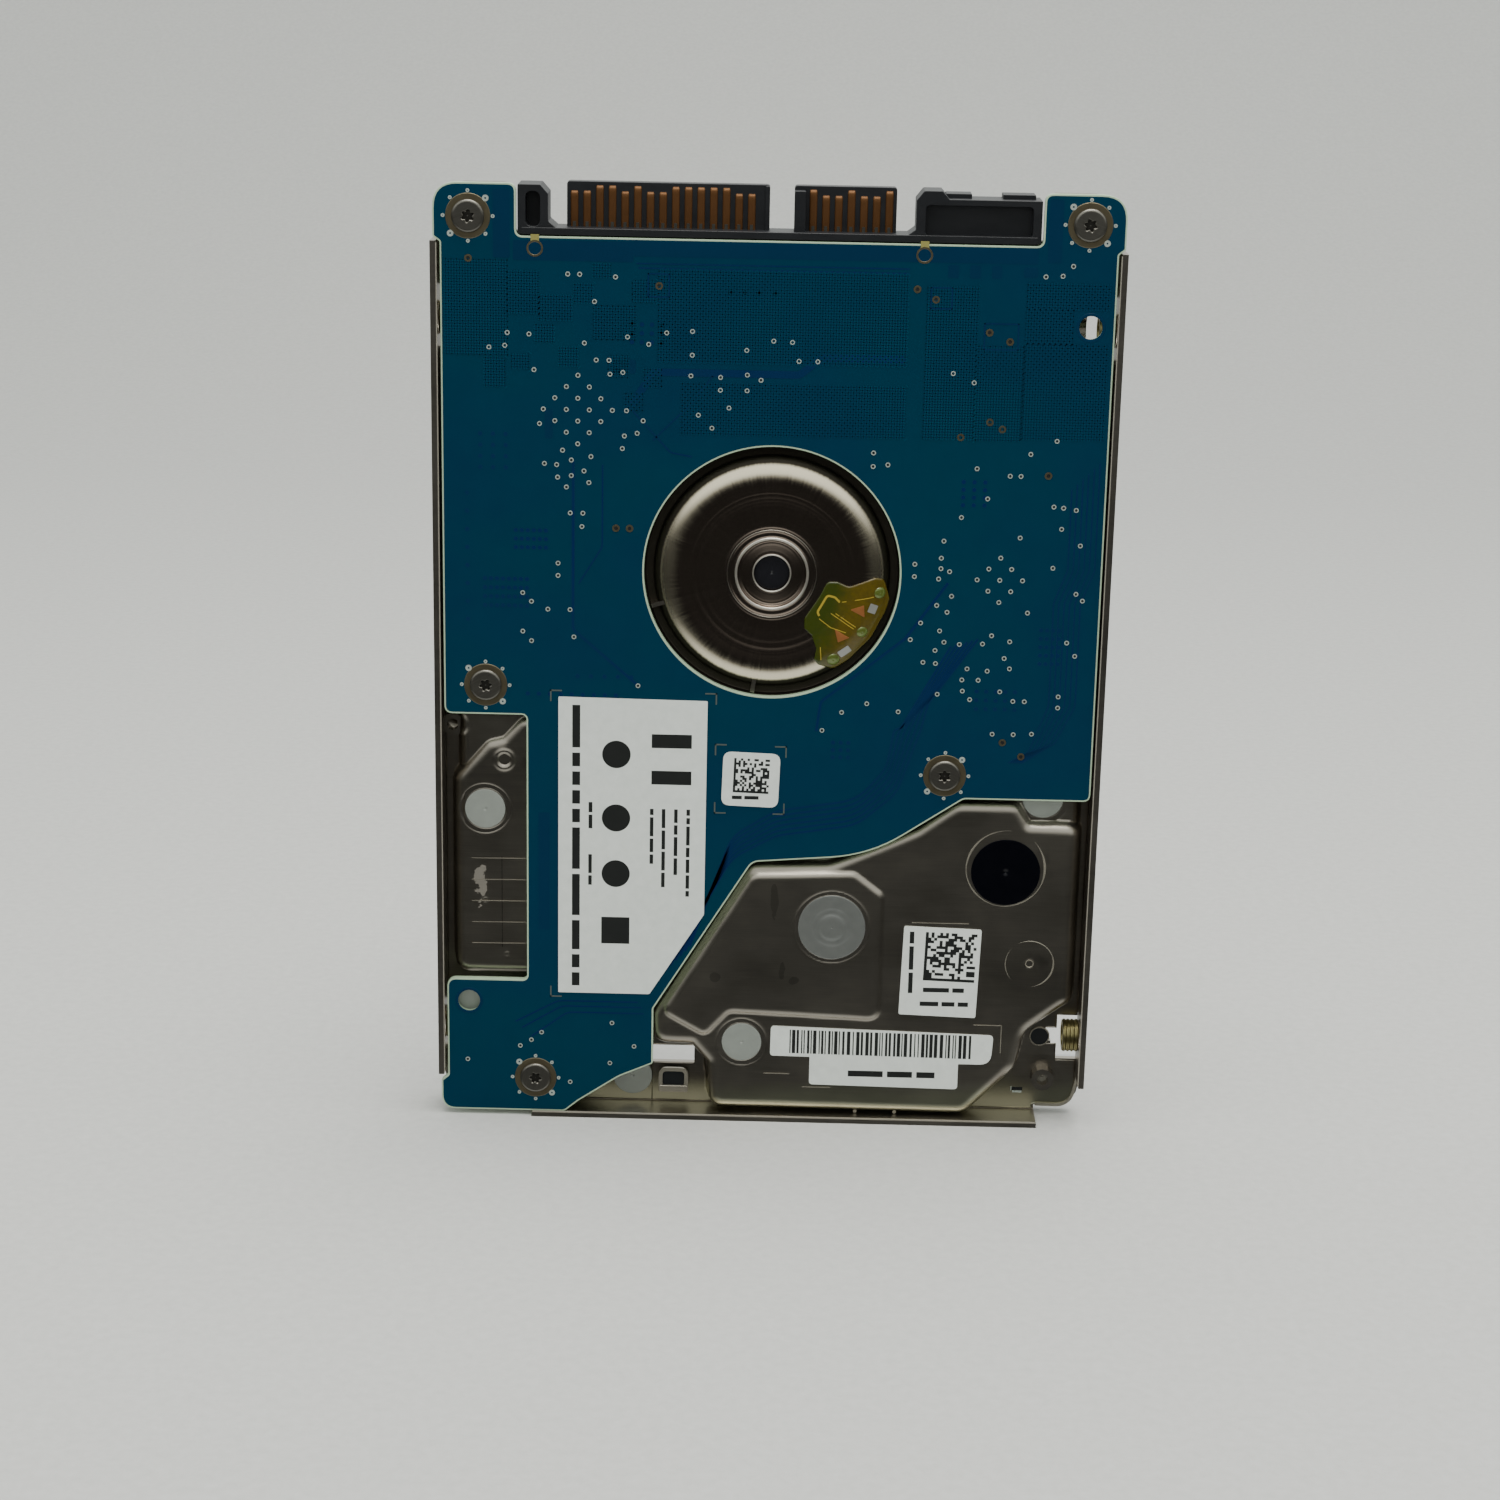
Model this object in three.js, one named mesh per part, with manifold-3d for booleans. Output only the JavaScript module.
// A 2.5-inch, 7 mm hard disk drive, standing on its far end with the connector up.
// X runs across the drive, Y from the circuit-board side to the cover side, Z towards the connector.
// The origin is the middle of the far-end face. Millimetres.
// A place on the drive is [x, z]; a depth is measured from the plane of the side lips on the board side.

import * as THREE from 'three';
import { mergeVertices } from 'three/addons/utils/BufferGeometryUtils.js';
import Module from 'manifold-3d';

const wasm = await Module();
wasm.setup();

// Outer size of the form factor
const WIDTH = 69.85;
const LENGTH = 100.35;
const THICKNESS = 7;
const HALF_WIDTH = WIDTH / 2;

// Clearance between pieces that touch
const GAP = 0.04;

// Depths from the board side, outside face first
const BOARD_FACE = 0.35;
const BOARD_BACK = 1.1;
const CHIP_BACK = 1.95;
const DECK_FACE = 2.1;
const DECK_INSIDE = 2.75;
const PLATEAU_FACE = 1;
const PLATEAU_INSIDE = 1.6;
const BEARING_PLATEAU_FACE = 0.6;
const COLUMN_FACE = 1.5;
const RIM_FACE = 4.2;
const RIM_BACK = 4.9;
const COVER_RIM_FACE = 5.15;
const COVER_RIM_BACK = 5.65;
const COVER_INSIDE = 6.4;
const COVER_BACK = 6.9;
const PLATTER_FACE = 4.2;
const PLATTER_BACK = 4.835;

// Spindle, platter and actuator
const SPINDLE = [0, 60.9];
const PLATTER_RADIUS = 32.5;
const PLATTER_BORE = 10;
const CAVITY_RADIUS = 33.2;
const PAN_RADIUS = 12.2;
const SLEEVE_RADIUS = 3.3;
const SHAFT_RADIUS = 1.5;
const PIVOT = [7.2, 22.4];
const PARKED_ANGLE = 45.6;
const HEAD_REACH = 32.2;
const COIL_INNER = 7.4;
const COIL_OUTER = 13.8;
const LATCH_PIN = [-12, 22];

// Side mounting nuts and the fasteners
const NUT_HEIGHTS = [9.75, 86.35];
const NUT_DEPTH = 3;
const NUT_RADIUS = 1.8;
const NUT_BORE = 1.25;
const FLANGE = 0.58;
const BOARD_SCREWS = [[-31.1, 96.9], [31, 97.2], [-29.6, 48.45], [18.6, 39.65], [-24.45, 4.45]];
const COVER_SCREWS = [[-30.5, 92.3], [30.5, 92.3], [-33.4, 43.3], [33.4, 40], [-22, 12.6], [30.7, 4.4]];
const BOARD_HEAD_RADIUS = 1.67;
const COVER_HEAD_RADIUS = 1.15;

// Serial connector
const CONNECTOR_FOOT = 95.15;
const CONNECTOR_SILL = 95.85;
const TONGUE_FACE = 2.4;
const TONGUE_BACK = 3.6;
const CONTACT_PITCH = 1.27;
const CONTACT_WIDTH = 0.78;
const CONTACT_FOOT = 95.45;
const LONG_CONTACT_TOP = 99.95;
const SHORT_CONTACT_TOP = 99.4;
const POWER_FIRST = -20.57;
const SIGNAL_FIRST = 3.38;
const POWER_LENGTHS = 'ssllslsslllllss';
const SIGNAL_LENGTHS = 'lsslssl';

const yAt = (depth) => depth - THICKNESS / 2;
const radians = (degrees) => degrees * Math.PI / 180;
const fromPivot = (radius, degrees) => [
  PIVOT[0] + radius * Math.cos(radians(degrees)),
  PIVOT[1] + radius * Math.sin(radians(degrees)),
];

// An outline through [x, z, corner radius] points; each corner is a smooth curve of that radius
function outline(corners, steps = 2) {
  const points = [];
  corners.forEach(([x, z, radius = 0], index) => {
    const corner = new THREE.Vector2(x, z);
    if (radius === 0) {
      points.push(corner);
      return;
    }
    const count = corners.length;
    const [beforeX, beforeZ] = corners[(index + count - 1) % count];
    const [afterX, afterZ] = corners[(index + 1) % count];
    const toBefore = new THREE.Vector2(beforeX - x, beforeZ - z);
    const toAfter = new THREE.Vector2(afterX - x, afterZ - z);
    const halfAngle = Math.abs(toBefore.angleTo(toAfter)) / 2;
    const longest = 0.48 * Math.min(toBefore.length(), toAfter.length());
    const trim = Math.min(radius / Math.tan(halfAngle), longest);
    const start = corner.clone().add(toBefore.setLength(trim));
    const end = corner.clone().add(toAfter.setLength(trim));
    points.push(...new THREE.QuadraticBezierCurve(start, corner, end).getPoints(steps));
  });
  return new THREE.Shape(points);
}

// A closed three.js geometry as a solid that can be joined and cut
function solid(geometry) {
  const bare = geometry.index ? geometry.clone() : geometry;
  bare.deleteAttribute('normal');
  bare.deleteAttribute('uv');
  const merged = mergeVertices(bare, 1e-4);
  const positions = merged.attributes.position;
  const triangles = [];
  let volume = 0;
  const [a, b, c] = [new THREE.Vector3(), new THREE.Vector3(), new THREE.Vector3()];
  for (let i = 0; i < merged.index.count; i += 3) {
    const corners = [0, 1, 2].map((k) => merged.index.getX(i + k));
    if (new Set(corners).size === 3) {
      triangles.push(...corners);
      a.fromBufferAttribute(positions, corners[0]);
      b.fromBufferAttribute(positions, corners[1]);
      c.fromBufferAttribute(positions, corners[2]);
      volume += a.dot(b.cross(c));
    }
  }
  if (volume < 0) {
    triangles.reverse();
  }
  return new wasm.Manifold(new wasm.Mesh({
    numProp: 3,
    vertProperties: new Float32Array(positions.array),
    triVerts: new Uint32Array(triangles),
  }));
}

const joined = (...solids) => solids.reduce((whole, next) => whole.add(next));
const cut = (whole, ...tools) => tools.reduce((left, tool) => left.subtract(tool), whole);

// A flat plate between two depths, with its board-side edge chamfered
function plate(shape, near, far, chamfer = 0) {
  const geometry = new THREE.ExtrudeGeometry(shape, {
    depth: far - near - chamfer,
    bevelEnabled: chamfer > 0,
    bevelThickness: chamfer,
    bevelSize: chamfer,
    bevelOffset: -chamfer,
    bevelSegments: 1,
    curveSegments: 10,
  });
  geometry.rotateX(Math.PI / 2);
  geometry.translate(0, yAt(far), 0);
  return solid(geometry);
}

function block(x0, x1, z0, z1, near, far) {
  const geometry = new THREE.BoxGeometry(x1 - x0, far - near, z1 - z0);
  geometry.translate((x0 + x1) / 2, (yAt(near) + yAt(far)) / 2, (z0 + z1) / 2);
  return solid(geometry);
}

// A turned piece about Y; the profile is [radius, depth] points, closed if it stays off the axis
function turned([x, z], profile, segments = 32) {
  const closed = profile.some(([radius]) => radius === 0) ? profile : [...profile, profile[0]];
  const points = closed.map(([radius, depth]) => new THREE.Vector2(radius, yAt(depth)));
  const geometry = new THREE.LatheGeometry(points, segments);
  geometry.translate(x, 0, z);
  return solid(geometry);
}

const disc = (centre, radius, near, far, segments = 32) => turned(
  centre,
  [[0, near], [radius, near], [radius, far], [0, far]],
  segments,
);

const ring = (centre, inner, outer, near, far, segments = 32) => turned(
  centre,
  [[inner, near], [outer, near], [outer, far], [inner, far]],
  segments,
);

// A rod along X through a side wall
function crossRod(x0, x1, height, depth, radius, segments = 20) {
  const geometry = new THREE.CylinderGeometry(radius, radius, x1 - x0, segments);
  geometry.rotateZ(Math.PI / 2);
  geometry.translate((x0 + x1) / 2, yAt(depth), height);
  return solid(geometry);
}

// A sector of a ring about the actuator pivot
function sector(inner, outer, from, to, near, far, steps = 8) {
  const shape = new THREE.Shape();
  const angles = Array.from({ length: steps + 1 }, (_, k) => from + (to - from) * k / steps);
  const rim = angles.map((angle) => new THREE.Vector2(...fromPivot(outer, angle)));
  const bore = angles.reverse().map((angle) => new THREE.Vector2(...fromPivot(inner, angle)));
  shape.setFromPoints([...rim, ...bore]);
  return plate(shape, near, far);
}

// A plate drawn along the parked arm, with its length measured from the pivot
function armPlate(corners, near, far) {
  const turn = radians(PARKED_ANGLE);
  const placed = corners.map(([along, across, radius]) => [
    PIVOT[0] + along * Math.cos(turn) - across * Math.sin(turn),
    PIVOT[1] + along * Math.sin(turn) + across * Math.cos(turn),
    radius,
  ]);
  return plate(outline(placed, 3), near, far);
}

const group = new THREE.Group();

function material(color, metalness, roughness) {
  return new THREE.MeshStandardMaterial({ color, metalness, roughness });
}

const finishes = {
  nickelSteel: material(0x8f8a80, 0.9, 0.32),
  castAluminium: material(0xb9babb, 0.85, 0.45),
  boardLacquer: material(0x00465e, 0.05, 0.4),
  screwSteel: material(0x8d8b85, 0.9, 0.35),
  blackPlastic: material(0x1c1e21, 0, 0.45),
  contactGold: material(0x9a6a35, 0.9, 0.35),
  chipResin: material(0x17181a, 0, 0.55),
  greyFoam: material(0x4a4d50, 0, 0.95),
  copper: material(0xb0602c, 0.85, 0.4),
  mirrorDisk: material(0xd8d9db, 1, 0.06),
  magnet: material(0x9c9a96, 0.8, 0.4),
  polyimide: material(0x9c8414, 0, 0.35),
  greyTape: material(0xa3a5a4, 0.2, 0.45),
  blackTape: material(0x06070a, 0, 0.3),
  paperLabel: material(0xdedfdc, 0, 0.6),
  whitePlastic: material(0xd9d6cc, 0, 0.5),
  gasketRubber: material(0x1d1d1f, 0, 0.85),
  nutBrass: material(0x77704f, 0.8, 0.45),
};

function piece(name, shape, finish) {
  const mesh = shape.getMesh();
  const geometry = new THREE.BufferGeometry();
  geometry.setAttribute('position', new THREE.BufferAttribute(mesh.vertProperties, 3));
  geometry.setIndex(new THREE.BufferAttribute(mesh.triVerts, 1));
  const made = new THREE.Mesh(geometry, finish);
  made.name = name;
  group.add(made);
}

// The sealed chamber: the platter's circle, the column on the left and the actuator's bay below.
// grow moves its walls outwards.
function chamber(grow, near, far) {
  const left = [
    [-31.2 - grow, 17.4 - grow],
    [5, 17.4 - grow],
    [5, 60.9],
    [-31.2 - grow, 60.9],
  ];
  const coilBay = [
    [-9.9 - grow, 10.2 - grow],
    [5, 10.2 - grow],
    [5, 60.9],
    [-9.9 - grow, 60.9],
  ];
  const armBay = [
    [-4.2 - grow, 2.5 - grow],
    [21.2 + grow * 0.6, 2.5 - grow],
    [25.4 + grow * 0.85, 8.5 - grow * 0.55],
    [31.7 + grow, 19.5 - grow * 0.3],
    [31.7 + grow, 60.9],
    [-4.2 - grow, 60.9],
  ];
  return joined(
    disc(SPINDLE, CAVITY_RADIUS + grow, near, far, 48),
    plate(outline(left), near, far),
    plate(outline(coilBay), near, far),
    plate(outline(armBay), near, far),
  );
}

// Pressed base: rim, deck, plateaus, motor pan, folded side and end walls, screw bosses
function baseDeck() {
  const rim = outline([
    [-HALF_WIDTH, 4.4], [-34.2, 1, 3], [-24.9, 1], [-24.9, 0], [29.95, 0], [29.95, 1], [34.2, 1, 3],
    [HALF_WIDTH, 4.4], [HALF_WIDTH, 94.5], [34.4, 94.7], [34.4, 99.9, 3], [26.75, 99.9, 1], [26.75, 95.1],
    [-26.75, 95.1], [-26.75, 99.9, 1], [-34.4, 99.9, 3], [-34.4, 94.7], [-HALF_WIDTH, 94.5],
  ]);
  const plateau = outline([
    [-11.4, 11.7, 1.2], [-11.2, 9.1, 1.2], [-7.3, 9, 1], [-5.2, 6.6, 1.2], [-4.9, 1.8, 0.8],
    [21.9, 1.65, 1.5], [26.8, 6.8, 1.5], [27.7, 11, 3], [31.6, 14, 1], [32.5, 14.6, 0.8], [32.5, 33.5, 0.8], [27.4, 33.6, 1],
    [26.1, 35.8, 0.9], [20.3, 35.8, 1.6], [16.4, 32.9, 3], [7, 28.6, 4], [-1.5, 28.4, 1.2],
  ]);
  const bearingPlateau = outline([
    [-10.6, 12.3, 0.9], [-6.2, 9.8, 0.8], [-3.7, 12.6, 1.5], [12.4, 12, 1.2], [12.4, 26, 1], [9.4, 28.3, 1],
    [-1.2, 27.9, 1],
  ]);
  const column = outline([
    [-22, 44, 1], [-25.6, 44, 1.2], [-27.6, 41.8, 1], [-29.2, 41.4, 1], [-32.45, 37.6, 1.6],
    [-32.45, 16.6, 1], [-22, 16.6, 1],
  ]);
  const coilFloor = outline([
    [-9.9, 12.4, 1], [-9.6, 10.2], [-4.2, 8], [-4.2, 2.5], [21.2, 2.5], [25.4, 8.5], [31.5, 18.5],
    [31.5, 32.5],
    [20, 34.6], [6.6, 27.6], [-1.2, 27.4],
  ]);
  const pan = turned(SPINDLE, [
    [0, 1.05], [4.3, 1.05], [4.6, 1.3], [9.1, 1.3], [9.8, PLATEAU_FACE - 0.1], [10.2, PLATEAU_FACE - 0.1],
    [11.7, 1.22], [PAN_RADIUS, 1.9], [PAN_RADIUS, RIM_FACE], [0, RIM_FACE],
  ], 40);
  const panInside = turned(SPINDLE, [
    [4.2, 1.85], [9.6, 1.85], [9.9, 1.5], [11.7, 1.5], [11.7, RIM_FACE], [4.2, RIM_FACE],
  ], 32);
  const walls = [-1, 1].map((side) => {
    const [inner, outer] = [side * (HALF_WIDTH - FLANGE), side * HALF_WIDTH];
    return block(Math.min(inner, outer), Math.max(inner, outer), 4.7, 94.4, 0, RIM_BACK);
  });
  const boardBosses = BOARD_SCREWS.map((place) => {
    const onDeck = Math.hypot(place[0] - SPINDLE[0], place[1] - SPINDLE[1]) < CAVITY_RADIUS;
    return disc(place, 2.15, BOARD_BACK + GAP, onDeck ? DECK_INSIDE : RIM_BACK, 16);
  });
  const coverBosses = COVER_SCREWS.map((place) => disc(place, 1.25, 3, RIM_BACK, 12));
  const body = joined(
    plate(rim, RIM_FACE, RIM_BACK),
    chamber(0.7, DECK_FACE, RIM_BACK),
    plate(plateau, PLATEAU_FACE, RIM_BACK - 0.5, 0.45),
    plate(bearingPlateau, BEARING_PLATEAU_FACE, 2.5, 0.35),
    plate(column, COLUMN_FACE, RIM_BACK - 0.5, 0.45),
    pan,
    block(-24.9, 29.95, 0, 0.5, 0, RIM_BACK),
    block(-11, -8.1, 1.9, 3.1, 3.3, RIM_BACK),
    ...walls,
    ...boardBosses,
    ...coverBosses,
  );
  const screwHoles = BOARD_SCREWS.map((place) => disc(place, 0.85, 0.5, 2.65, 10));
  const coverHoles = COVER_SCREWS.map((place) => disc(place, 0.65, 2, 6, 8));
  const nutHoles = NUT_HEIGHTS.map((height) => crossRod(-40, 40, height, NUT_DEPTH, 1.6, 20));
  const nutWindows = [-1, 1].flatMap((side) => [
    sideBlock(side, 31.5, HALF_WIDTH - FLANGE, 6.5, 12.2, 1, 5.2),
    sideBlock(side, 30.8, 33, 8.55, 10.55, 1, 5.2),
    sideBlock(side, 31.5, HALF_WIDTH - FLANGE, 83.2, 89.6, 1, 5.2),
  ]);
  const hollows = joined(
    chamber(0, DECK_INSIDE, 5.2),
    plate(coilFloor, PLATEAU_INSIDE, 5),
    panInside,
  );
  return cut(
    body,
    hollows,
    disc(SPINDLE, SLEEVE_RADIUS + 2 * GAP, 0.5, 5, 20),
    block(-11.98, -7.37, 5.04, 7.05, 3.8, 5.2),
    ...screwHoles,
    ...coverHoles,
    ...nutHoles,
    ...nutWindows,
  );
}

// A box beside one of the long edges; side is -1 or 1
function sideBlock(side, inner, outer, z0, z1, near, far) {
  return side > 0 ? block(inner, outer, z0, z1, near, far) : block(-outer, -inner, z0, z1, near, far);
}

// Stamped cover: rim, raised lid over the chamber and openings that match the base's
function topCover() {
  const rim = outline([
    [-34.5, 1, 3], [-24.9, 1], [-24.9, 0], [29.95, 0], [29.95, 1], [34.5, 1, 3], [34.5, 99.8, 3],
    [26.8, 99.8, 1], [26.8, 95.1], [-26.8, 95.1], [-26.8, 99.8, 1], [-34.5, 99.8, 3],
  ]);
  const lid = joined(
    chamber(0.5, COVER_RIM_FACE, COVER_BACK - 0.35),
    chamber(0.1, COVER_RIM_FACE, COVER_BACK),
    block(-4.7, 21.5, 0, 6, COVER_RIM_FACE, COVER_BACK),
  );
  const windows = [-1, 1].flatMap((side) => [
    sideBlock(side, 31, 36, 82.8, 89.8, 4, 8),
    sideBlock(side, 30.2, 36, 6.4, 11.6, 4, 8),
  ]);
  return cut(
    joined(plate(rim, COVER_RIM_FACE, COVER_RIM_BACK), lid),
    chamber(0, 4.5, COVER_INSIDE),
    block(-12.8, -6.8, 3.4, 7.4, 4, 8),
    ...windows,
    ...COVER_SCREWS.map((place) => disc(place, 0.7, 4, 8, 12)),
  );
}

function coverLabel() {
  return plate(outline([
    [-2.6, 4.6, 1], [19.8, 4.6, 1], [24.2, 11, 1], [29, 20.5, 1], [29, 73, 3], [16, 89, 3], [-16, 89, 3],
    [-29, 73, 3], [-29, 20.5, 1], [-2.6, 20.5, 1],
  ]), COVER_BACK + 0.02, THICKNESS);
}

function circuitBoard() {
  const shape = outline([
    [-34.67, 100.2, 3.2], [-26.3, 100.2, 0.9], [-26.3, 95, 0.7], [26.4, 95, 0.7], [26.4, 100.2, 0.9],
    [34.67, 100.2, 3.2], [34.67, 94.8, 0.3], [34, 94.3, 0.3], [34, 37.1, 0.8], [20.7, 37.1, 1],
    [11, 30.6, 16],
    [-1.4, 29.6, 1.4], [-11.76, 12.7, 0.6], [-11.76, 6.35, 0.3], [-15.4, 4.75, 5], [-19.8, 1.8, 3],
    [-21.3, 0.55, 0.8], [-34.67, 0.55, 2.4], [-34.67, 3.9, 0.3], [-33.95, 4.5, 0.3], [-33.95, 15.7, 1],
    [-25.35, 15.7, 0.6], [-25.35, 45.26, 0.6], [-33.95, 45.26, 0.9], [-33.95, 94.3, 0.3], [-34.67, 94.8, 0.3],
  ], 3);
  const round = (x, z, radius) => disc([x, z], radius, 0, 2, 16);
  return cut(
    plate(shape, BOARD_FACE, BOARD_BACK),
    disc([0, 61], 13.2, 0, 2, 40),
    round(31.55, 87.1, 1.25),
    round(-31.6, 13.3, 1.3),
    round(-24.4, 93.8, 0.66),
    round(14.6, 93.9, 0.66),
    ...BOARD_SCREWS.map(([x, z]) => round(x, z, 1)),
  );
}

// A low-headed screw with a six-sided recess; sign points from the head to the tip
function screw([x, z], headRadius, shankRadius, headTop, seat, tip) {
  const sign = Math.sign(tip - headTop);
  const body = turned([x, z], [
    [0, headTop], [headRadius * 0.85, headTop], [headRadius, headTop + sign * 0.12], [headRadius, seat],
    [shankRadius, seat], [shankRadius, tip], [0, tip],
  ], 12);
  const recess = headTop + sign * 0.24;
  const beyond = headTop - sign;
  const socket = disc([x, z], headRadius * 0.38, Math.min(recess, beyond), Math.max(recess, beyond), 6);
  return cut(body, socket);
}

function sideNut(side, height) {
  const inner = HALF_WIDTH - FLANGE - GAP - 1.75;
  const outer = HALF_WIDTH - FLANGE - GAP;
  const [x0, x1] = side > 0 ? [inner, outer] : [-outer, -inner];
  return cut(
    crossRod(x0, x1, height, NUT_DEPTH, NUT_RADIUS, 16),
    crossRod(x0 - 1, x1 + 1, height, NUT_DEPTH, NUT_BORE, 12),
  );
}

const contactTop = (kind) => (kind === 'l' ? LONG_CONTACT_TOP : SHORT_CONTACT_TOP);

function contactComb(first, lengths) {
  const fingers = [...lengths].map((kind, index) => {
    const centre = first + index * CONTACT_PITCH;
    const half = CONTACT_WIDTH / 2;
    const [near, far] = [TONGUE_FACE - 0.12, TONGUE_FACE - 0.02];
    return block(centre - half, centre + half, CONTACT_FOOT, contactTop(kind), near, far);
  });
  const last = first + (lengths.length - 1) * CONTACT_PITCH;
  const bar = block(first - 0.2, last + 0.2, 95.52, 95.7, TONGUE_FACE - 0.1, TONGUE_FACE - 0.04);
  return joined(bar, ...fingers);
}

function connector() {
  const tongue = (x0, x1) => block(x0, x1, CONNECTOR_FOOT, LENGTH, TONGUE_FACE, TONGUE_BACK);
  const pocket = (x0, x1) => plate(
    outline([[x0, 96, 0.7], [x1, 96, 0.7], [x1, 99.4, 0.7], [x0, 99.4, 0.7]]),
    0,
    2.6,
  );
  const body = joined(
    block(-25.8, 25.9, CONNECTOR_FOOT, CONNECTOR_SILL, 0.45, 4.3),
    block(-26.15, -23.2, 95.6, 100.1, 0.5, 4.3),
    block(13.65, 26.25, 95.6, 100.1, 0.5, 4.3),
    block(-26, 26, 92.2, 95.3, BOARD_BACK + GAP, DECK_FACE - GAP),
    disc([-24.4, 93.8], 0.58, 0.4, 1.6, 14),
    disc([14.6, 93.9], 0.58, 0.4, 1.6, 14),
    tongue(-21.33, -0.98),
    tongue(1.48, 11.74),
    block(1.48, 2.6, CONNECTOR_FOOT, LENGTH - 0.4, TONGUE_FACE - 1.2, TONGUE_BACK),
  );
  return cut(
    body,
    pocket(-25.3, -23.9),
    pocket(14.5, 25.4),
    block(-2.1, -1.3, 96.2, 100, 0, 2.8),
    block(-21.1, -2.3, 95.35, 95.95, TONGUE_FACE - 0.2, TONGUE_FACE + 0.02),
    block(2.8, 11.5, 95.35, 95.95, TONGUE_FACE - 0.2, TONGUE_FACE + 0.02),
  );
}

function boardFoam() {
  return cut(
    plate(outline([[-31, 65.5, 2], [31, 65.5, 2], [31, 84, 4], [24, 91.5, 2], [-24, 91.5, 2], [-31, 84, 4]]),
      BOARD_BACK + GAP, DECK_FACE - GAP),
    disc(SPINDLE, 14.4, 0, 3, 40),
    block(-26, -14, 71.5, 83.5, 0, 3),
    block(-6.6, 6.6, 78.2, 86.8, 0, 3),
    block(19.2, 27.8, 56, 65.9, 0, 3),
  );
}

// Spindle motor, fixed side: laminated core with nine wound poles
function stator() {
  const poles = 9;
  const shape = new THREE.Shape();
  const steps = poles * 6;
  const points = Array.from({ length: steps }, (_, k) => {
    const angle = 2 * Math.PI * k / steps;
    const swing = Math.cos(poles * angle);
    const radius = 7.7 + 1.8 * Math.tanh(3 * swing) / Math.tanh(3);
    return new THREE.Vector2(SPINDLE[0] + radius * Math.cos(angle), SPINDLE[1] + radius * Math.sin(angle));
  });
  shape.setFromPoints(points);
  const windings = ring(SPINDLE, 5.6, 8.6, 1.9, 3.42, 24);
  const core = cut(joined(plate(shape, 2.2, 3.1), windings), disc(SPINDLE, 4.4, 0, 5, 24));
  return core;
}

function spindlePieces() {
  const bearing = turned(SPINDLE, [
    [1.9, 1.25], [SLEEVE_RADIUS, 1.25], [SLEEVE_RADIUS, 4.1], [SHAFT_RADIUS + GAP, 4.1],
    [SHAFT_RADIUS + GAP, 1.68], [1.9, 1.68],
  ], 20);
  piece('spindle_bearing_sleeve', bearing, finishes.screwSteel);
  piece('bearing_end_plug', disc(SPINDLE, 1.85, 1.34, 1.62, 28), finishes.blackPlastic);
  piece('motor_stator', stator(), finishes.copper);
  const shaft = cut(disc(SPINDLE, SHAFT_RADIUS, 1.72, 5.2, 28), disc(SPINDLE, 0.75, 3.2, 6, 14));
  piece('spindle_shaft', shaft, finishes.screwSteel);
  const hub = turned(SPINDLE, [
    [SHAFT_RADIUS + GAP, 4.3], [3.7, 4.3], [3.7, 3.6], [10.6, 3.6], [10.6, 1.9], [11.3, 1.9], [11.3, 4.16],
    [9.95, 4.16], [9.95, 4.87], [SHAFT_RADIUS + GAP, 4.87],
  ], 32);
  piece('spindle_hub', hub, finishes.castAluminium);
  piece('rotor_magnet_ring', ring(SPINDLE, 9.9, 10.55, 1.95, 3.4, 32), finishes.magnet);
  const platter = ring(SPINDLE, PLATTER_BORE, PLATTER_RADIUS, PLATTER_FACE, PLATTER_BACK, 56);
  piece('platter', platter, finishes.mirrorDisk);
  const clamp = turned(SPINDLE, [
    [1.9, 4.95], [9.5, 4.95], [9.7, 4.88], [11.2, 4.88], [11.2, 5.15], [9.7, 5.45], [1.9, 5.45],
  ], 28);
  piece('disk_clamp', clamp, finishes.screwSteel);
  piece('clamp_screw', screw(SPINDLE, 3.3, 0.7, 6.1, 5.5, 3.4), finishes.screwSteel);
}

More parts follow.
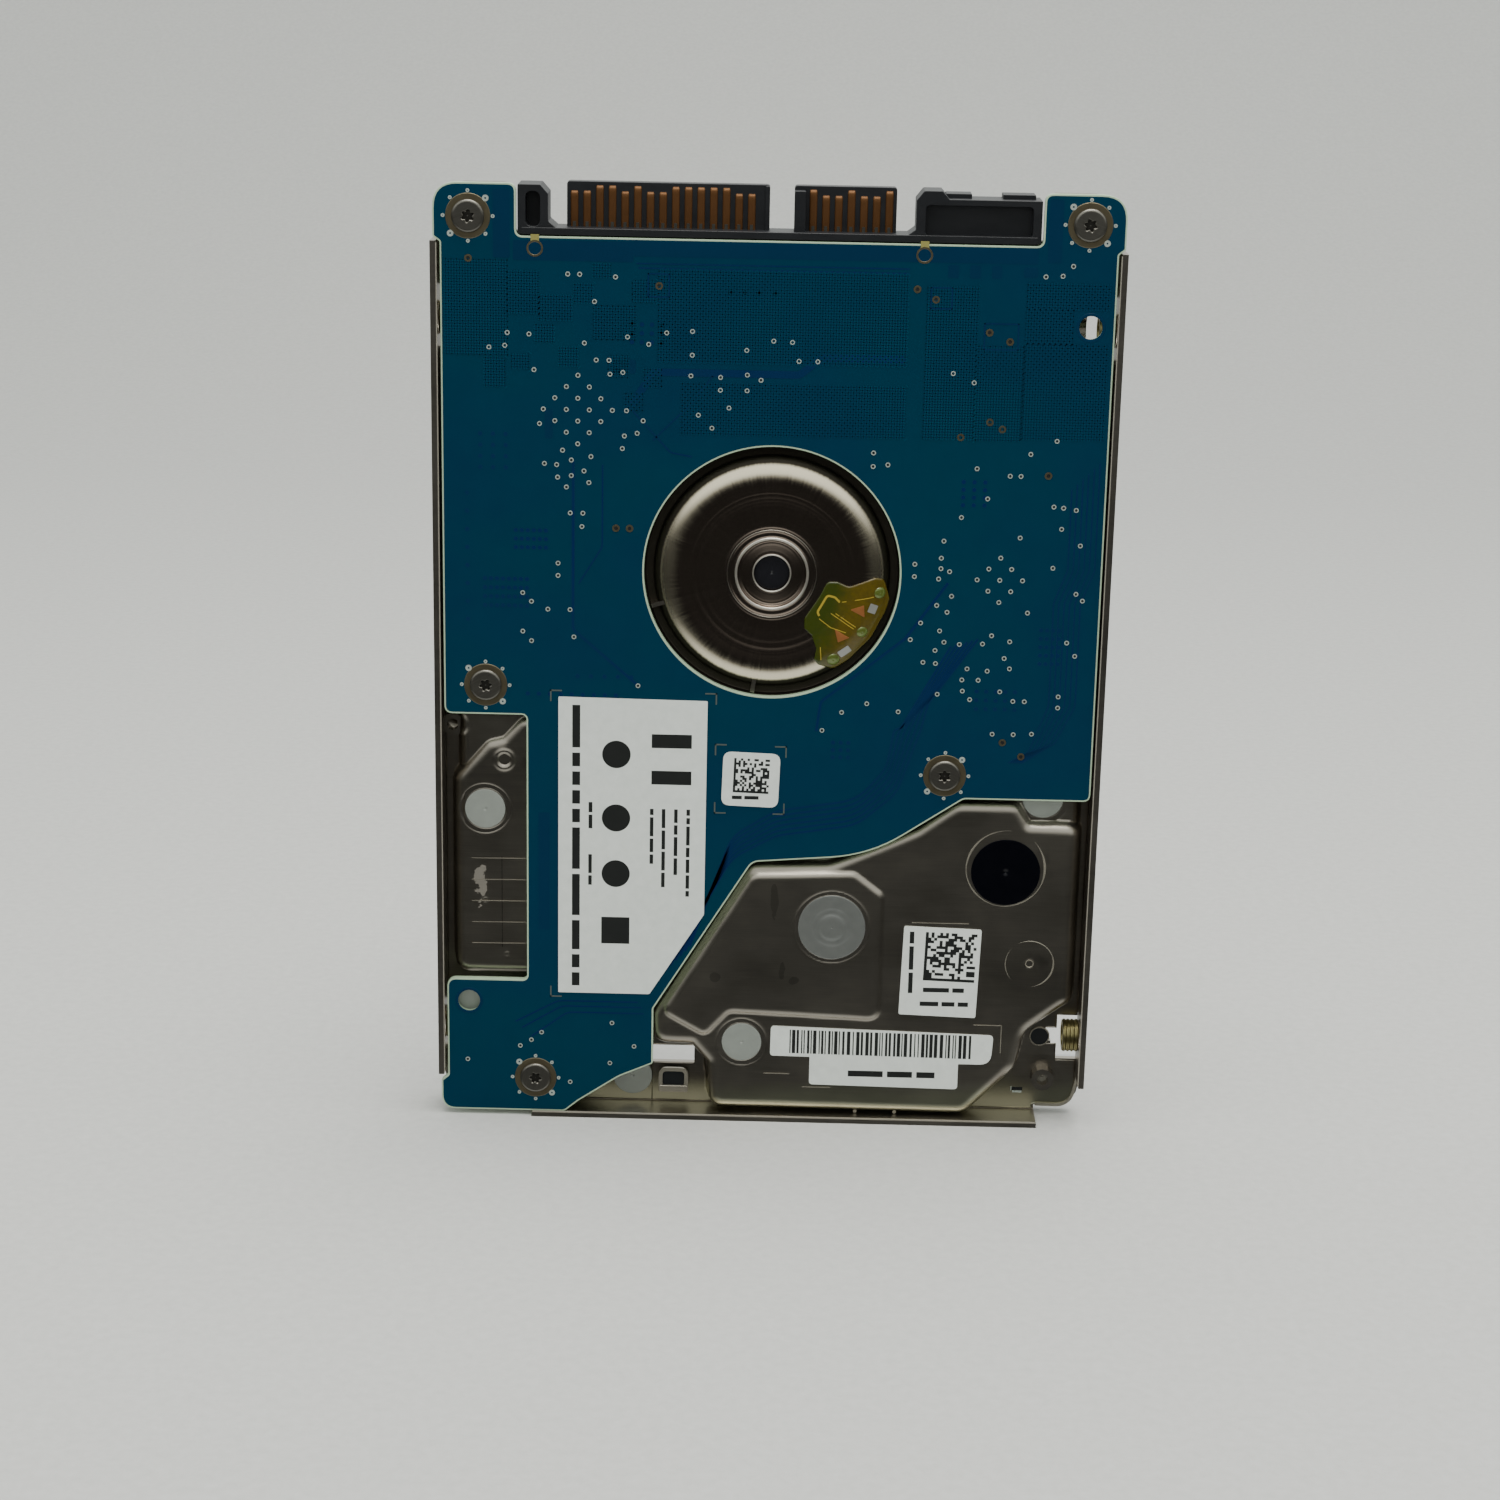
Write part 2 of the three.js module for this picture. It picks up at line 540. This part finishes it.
// Arm, coil, suspensions and sliders, all turning about the pivot
function actuatorPieces() {
  const bearing = ring(PIVOT, 2.08, 3.5, 2.3, 5.75, 24);
  piece('pivot_bearing_sleeve', bearing, finishes.screwSteel);
  piece('pivot_post', disc(PIVOT, 2, PLATEAU_INSIDE + GAP, 6.3, 24), finishes.screwSteel);
  const arm = [[2, -4, 1], [2, 4, 1], [7, 3.6, 2], [21, 1.9, 1], [21, -1.9, 1], [7, -3.6, 2]];
  const rear = PARKED_ANGLE + 180;
  const armBlock = joined(
    ring(PIVOT, 3.2, 5.2, 3.2, 5.8, 24),
    armPlate(arm, 3.2, 3.7),
    armPlate(arm, 5.3, 5.8),
    sector(4.4, 7.2, rear - 28, rear + 28, 3.9, 4.9),
    sector(4.4, COIL_OUTER, rear - 29, rear - 25.5, 3.9, 4.9),
    sector(4.4, COIL_OUTER, rear + 25.5, rear + 29, 3.9, 4.9),
  );
  piece('actuator_arm', cut(armBlock, disc(PIVOT, 3.5 + 2 * GAP, 1, 7, 24)), finishes.castAluminium);
  const coil = cut(
    sector(COIL_INNER, COIL_OUTER - 0.3, rear - 25, rear + 25, 3.85, 4.95),
    sector(9.6, 11.8, rear - 14, rear + 14, 3, 6),
  );
  piece('voice_coil', coil, finishes.copper);
  const suspension = [[18.5, -1.9, 0.4], [18.5, 1.9, 0.4], [22, 2, 0.6], [32.9, 0.6], [33.2, 0.25],
    [34.4, 0.25, 0.1], [34.4, -0.25, 0.1], [33.2, -0.25], [32.9, -0.6], [22, -2, 0.6]];
  const slider = [
    [HEAD_REACH - 0.6, -0.5], [HEAD_REACH - 0.6, 0.5], [HEAD_REACH + 0.6, 0.5], [HEAD_REACH + 0.6, -0.5],
  ];
  piece('suspension_board_side', armPlate(suspension, 3.73, 3.86), finishes.screwSteel);
  piece('suspension_cover_side', armPlate(suspension, 5.14, 5.27), finishes.screwSteel);
  piece('slider_board_side', armPlate(slider, 3.89, 4.14), finishes.chipResin);
  piece('slider_cover_side', armPlate(slider, 4.88, 5.11), finishes.chipResin);
}

function voiceCoilMagnets() {
  const post = (angle) => disc(fromPivot(16, angle), 0.8, 1.9, 5.2, 12);
  const shape = () => joined(
    sector(7, 14.6, 203, 283, 0, 0.8),
    sector(14, 17.1, 207, 213, 0, 0.8, 3),
    sector(14, 17.1, 277, 283, 0, 0.8, 3),
  );
  const lower = shape().translate([0, 1.75, 0]);
  const upper = shape().translate([0, 5.3, 0]);
  piece('yoke_board_side', joined(lower, post(210), post(280)), finishes.screwSteel);
  piece('yoke_cover_side', upper, finishes.screwSteel);
  piece('voice_coil_magnet', sector(7.6, 13.6, 208, 278, 2.6, 3.5), finishes.magnet);
}

function rampAndLatch() {
  const fingers = (near, far) => joined(
    sector(33.15, 34.6, 42.8, 50, near, far),
    sector(30.5, 34.6, 40.5, 43.6, near, far),
  );
  const ramp = joined(sector(27.5, 31.9, 36, 42, 2.9, 6.1), fingers(3.92, 4.12), fingers(4.9, 5.08));
  piece('load_ramp', ramp.intersect(chamber(-0.15, 2, 6.3)), finishes.whitePlastic);
  piece('latch_pin', disc(LATCH_PIN, 0.5, DECK_INSIDE + GAP, 5.6, 14), finishes.screwSteel);
  const [x, z] = LATCH_PIN;
  const hook = outline([
    [x - 1.6, z + 0.8, 0.5], [x, z + 1.2, 0.5], [x + 4.6, z - 0.9, 0.3], [x + 4.6, z - 2.6, 0.3],
    [x + 3.9, z - 2.6, 0.2], [x + 3.6, z - 1.6, 0.3], [x, z - 1.2, 0.5], [x - 1.6, z - 0.8, 0.5],
  ]);
  piece('latch', cut(plate(hook, 3.6, 4.9), disc(LATCH_PIN, 0.56, 2, 6, 14)), finishes.blackPlastic);
}

function ribbon(points, near, far, thickness) {
  const curve = new THREE.CatmullRomCurve3(points.map(([px, pz]) => new THREE.Vector3(px, 0, pz)));
  const count = 12;
  const side = (sign) => Array.from({ length: count + 1 }, (_, k) => {
    const at = curve.getPoint(k / count);
    const along = curve.getTangent(k / count);
    return new THREE.Vector2(at.x - sign * along.z * thickness / 2, at.z + sign * along.x * thickness / 2);
  });
  return plate(new THREE.Shape([...side(1), ...side(-1).reverse()]), near, far);
}

function innerFittings() {
  piece('flex_bracket', block(-25, -17, 22.5, 30, DECK_INSIDE + GAP, 5.4), finishes.blackPlastic);
  const route = [[-16.9, 25], [-12, 28], [-5, 28.3], [1.2, 26.6]];
  piece('actuator_flex', ribbon(route, 3.3, 5.2, 0.2), finishes.polyimide);
  piece('recirculation_filter', block(-30.6, -27.6, 22, 36, DECK_INSIDE + GAP, 6.2), finishes.whitePlastic);
  piece('breather_filter', disc([25.5, 28.6], 2.9, PLATEAU_INSIDE + GAP, 2.6, 24), finishes.whitePlastic);
  piece('controller_chip', block(-25.5, -14.6, 72.1, 83, BOARD_BACK + 0.02, CHIP_BACK), finishes.chipResin);
  piece('memory_chip', block(-6, 6, 79, 86, BOARD_BACK + 0.02, CHIP_BACK), finishes.chipResin);
  piece('motor_driver_chip', block(20, 27, 57.4, 64.4, BOARD_BACK + 0.02, CHIP_BACK), finishes.chipResin);
  piece('board_foam', boardFoam(), finishes.greyFoam);
}

function sealsAndFlex() {
  const seal = (name, place, radius, depth, finish) => piece(
    name,
    disc(place, radius, depth - 0.12, depth - 0.02, 24),
    finish,
  );
  seal('pivot_seal', [7.2, 22.4], 3.6, BEARING_PLATEAU_FACE, finishes.greyTape);
  seal('vent_seal', [25.5, 28.9], 3.65, PLATEAU_FACE, finishes.blackTape);
  seal('hole_seal_1', [-2.2, 8.88], 2.15, PLATEAU_FACE, finishes.greyTape);
  seal('hole_seal_2', [-29.85, 34.55], 2.15, COLUMN_FACE, finishes.greyTape);
  seal('hole_seal_3', [-14.1, 3.4], 2.15, RIM_FACE, finishes.greyTape);
  const flex = outline([
    [3.6, 55.9, 0.4], [4.8, 54.4, 0.5], [4.9, 51.3, 0.5], [6.4, 50.9, 0.4], [9.6, 53.2, 2], [12.3, 58.4, 1],
    [11.9, 60.5, 0.6], [10.4, 60.6, 0.5], [8.8, 59.8, 0.8], [6, 60.3, 0.8], [5, 58.8, 0.8],
  ]);
  piece('motor_flex', plate(flex, 0.72, 0.84), finishes.polyimide);
}

piece('base_deck', baseDeck(), finishes.nickelSteel);
NUT_HEIGHTS.forEach((height, index) => {
  piece(`side_nut_left_${index + 1}`, sideNut(-1, height), finishes.nutBrass);
  piece(`side_nut_right_${index + 1}`, sideNut(1, height), finishes.nutBrass);
});
piece('top_cover', topCover(), finishes.castAluminium);
piece('cover_gasket', cut(chamber(0.95, 4.94, 5.11), chamber(0.25, 4, 6)), finishes.gasketRubber);
COVER_SCREWS.forEach((place, index) => {
  piece(`cover_screw_${index + 1}`, screw(place, COVER_HEAD_RADIUS, 0.55, 6.2, COVER_RIM_BACK + GAP, 3.2),
    finishes.screwSteel);
});
piece('cover_label', coverLabel(), finishes.paperLabel);
piece('circuit_board', circuitBoard(), finishes.boardLacquer);
BOARD_SCREWS.forEach((place, index) => {
  piece(`board_screw_${index + 1}`, screw(place, BOARD_HEAD_RADIUS, 0.75, 0, BOARD_FACE - 0.02, 2.45),
    finishes.screwSteel);
});
piece('sata_connector', connector(), finishes.blackPlastic);
piece('power_contacts', contactComb(POWER_FIRST, POWER_LENGTHS), finishes.contactGold);
piece('signal_contacts', contactComb(SIGNAL_FIRST, SIGNAL_LENGTHS), finishes.contactGold);
spindlePieces();
actuatorPieces();
voiceCoilMagnets();
rampAndLatch();
innerFittings();
sealsAndFlex();

export default group;
